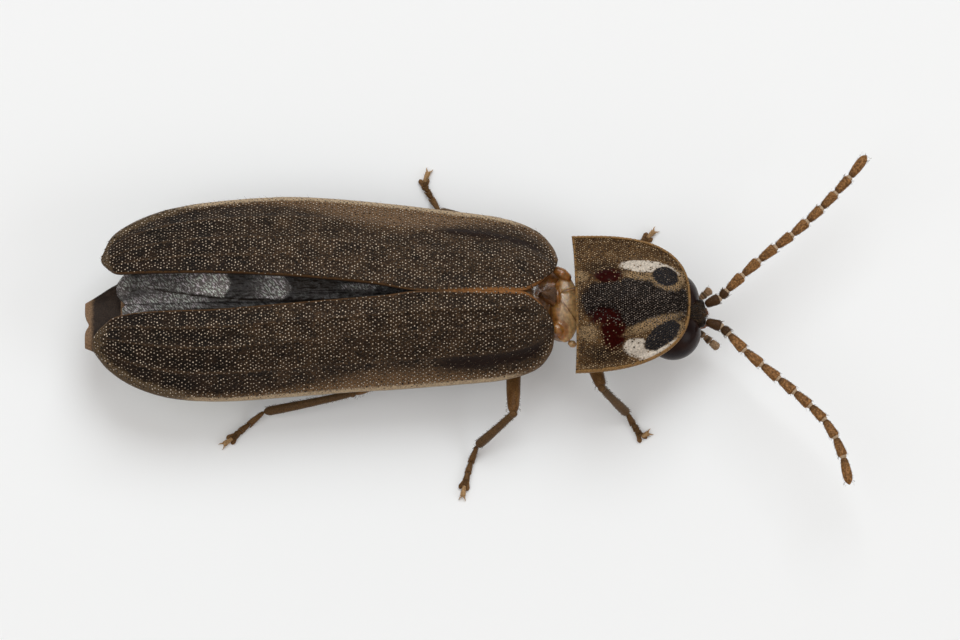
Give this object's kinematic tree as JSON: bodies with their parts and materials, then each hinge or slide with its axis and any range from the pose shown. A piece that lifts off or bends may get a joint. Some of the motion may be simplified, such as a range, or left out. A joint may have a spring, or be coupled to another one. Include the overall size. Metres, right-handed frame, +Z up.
{
  "type": "firefly",
  "caption": "Winged adult firefly standing with its long wing cases slightly parted over folded wings.",
  "frame": {"origin": "on the floor, under the middle of the whole animal's box, antennae and feet included", "axes": "+X towards the head, +Y to the animal's left, +Z up"},
  "size_m": [0.0196, 0.0088, 0.0033],
  "materials": {
    "shield": "granular cuticle with a golden rim and two clear windows",
    "wing_case": "granular, finely haired cuticle with a tan margin",
    "scutellum": "granular cuticle",
    "wing_membrane": "wrinkled membrane with an iridescent sheen",
    "thorax": "finely haired cuticle",
    "amber_cuticle": "glossy honey-coloured cuticle",
    "abdomen": "ringed, finely haired cuticle",
    "lantern": "pale waxy light organ",
    "abdomen_tip": "pale brown cuticle",
    "head": "granular cuticle",
    "eye": "glossy, finely faceted",
    "antenna": "finely haired cuticle with paler joints",
    "palp": "smooth cuticle",
    "mandible": "glossy hard cuticle",
    "leg": "finely haired cuticle"
  },
  "bodies": {
    "root": {"pronotum": "shield", "elytron_left": "wing_case", "elytron_right": "wing_case", "scutellum": "scutellum", "hindwing_left": "wing_membrane", "hindwing_right": "wing_membrane", "prothorax": "thorax", "mesothorax": "amber_cuticle", "metathorax": "thorax", "abdomen_front": "abdomen", "abdomen_lantern": "lantern", "abdomen_tip": "abdomen_tip", "head": "head", "eye_left": "eye", "antenna_left": "antenna", "palp_left": "palp", "mandible_left": "mandible", "leg_front_left": "leg", "leg_middle_left": "leg", "leg_hind_left": "leg", "eye_right": "eye", "antenna_right": "antenna", "palp_right": "palp", "mandible_right": "mandible", "leg_front_right": "leg", "leg_middle_right": "leg", "leg_hind_right": "leg"}
  },
  "joints": []
}
